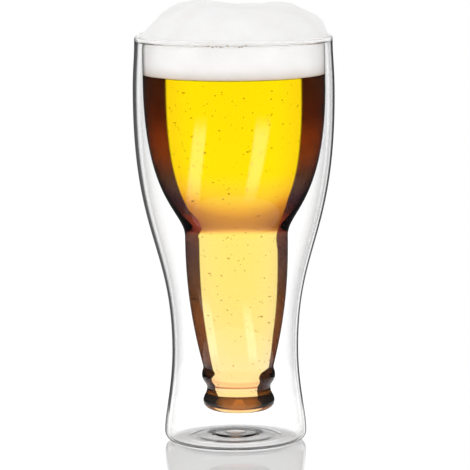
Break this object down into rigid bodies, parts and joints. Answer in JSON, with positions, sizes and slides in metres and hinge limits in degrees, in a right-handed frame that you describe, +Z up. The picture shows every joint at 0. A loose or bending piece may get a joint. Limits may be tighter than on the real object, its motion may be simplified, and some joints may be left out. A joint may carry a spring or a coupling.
{
  "type": "double-wall beer glass",
  "caption": "Double-walled drinking glass whose inner wall is a long-necked bottle on its head, filled with amber beer under a domed head of foam.",
  "frame": {"origin": "middle of the foot, on the table", "axes": "+Z up along the glass's axis; the picture looks along +Y, with +X to the right"},
  "size_m": [0.0888, 0.0888, 0.1955],
  "materials": {
    "clear_glass": "fire-polished, colourless",
    "amber_beer": "clear liquid",
    "white_foam": "fine matt froth"
  },
  "bodies": {
    "root": {"outer_wall": "clear_glass", "inner_bottle": "clear_glass", "lip_ring": "clear_glass", "base_disc": "clear_glass", "vent_seal": "clear_glass", "beer": "amber_beer", "foam_head": "white_foam"}
  },
  "joints": []
}
